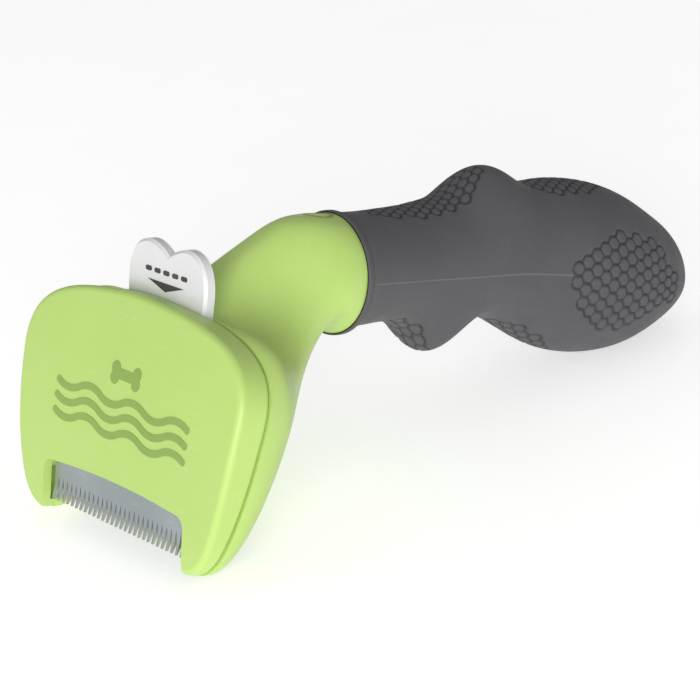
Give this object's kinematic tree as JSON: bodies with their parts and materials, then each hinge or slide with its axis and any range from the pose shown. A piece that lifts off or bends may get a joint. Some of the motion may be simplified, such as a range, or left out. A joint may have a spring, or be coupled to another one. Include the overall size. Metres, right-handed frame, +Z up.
{
  "type": "deshedding tool",
  "caption": "Hand-held deshedding tool with a toothed steel edge, a two-shell head, a sprung push-button hair ejector and a soft contoured grip.",
  "frame": {"origin": "centre of the bounding box at its base, on the table that the tool's two lobes and the belly of its grip rest on", "axes": "+X along the blade, +Y from the head towards the grip's free end, +Z up from the table"},
  "size_m": [0.0746, 0.1642, 0.0599],
  "materials": {
    "green_shell": "fine satin moulded ABS",
    "blade_steel": "ground stainless steel",
    "clamp_steel": "plain stamped steel",
    "screw_steel": "zinc-plated steel",
    "button_white": "white moulded plastic, light gloss",
    "print_black": "pad-printed ink",
    "carriage_grey": "grey acetal",
    "spring_steel": "drawn spring wire",
    "print_green": "darker green print",
    "core_plastic": "black polypropylene",
    "grip_rubber": "matte thermoplastic elastomer"
  },
  "bodies": {
    "body": {"front_shell": "green_shell", "back_shell": "green_shell", "blade": "blade_steel", "blade_clamp": "clamp_steel", "blade_screws": "screw_steel", "return_spring_left": "spring_steel", "return_spring_right": "spring_steel", "guide_rods": "screw_steel", "face_motif": "print_green", "handle_core_top": "core_plastic", "handle_core_bottom": "core_plastic", "core_screws": "screw_steel", "handle_pin": "screw_steel", "grip": "grip_rubber"},
    "ejector": {"ejector_button": "button_white", "button_arrow": "print_black", "ejector_carriage": "carriage_grey", "button_pins": "screw_steel", "pusher_bar": "carriage_grey"}
  },
  "joints": [
    {"name": "ejector_push", "type": "slide", "parent": "body", "child": "ejector", "axis": [0, -0.23, -0.9732], "range_m": [0, 0.0055], "stiffness_N_per_m": 600, "springref_m": -0.002, "deforming": ["return_spring_left", "return_spring_right"]}
  ]
}
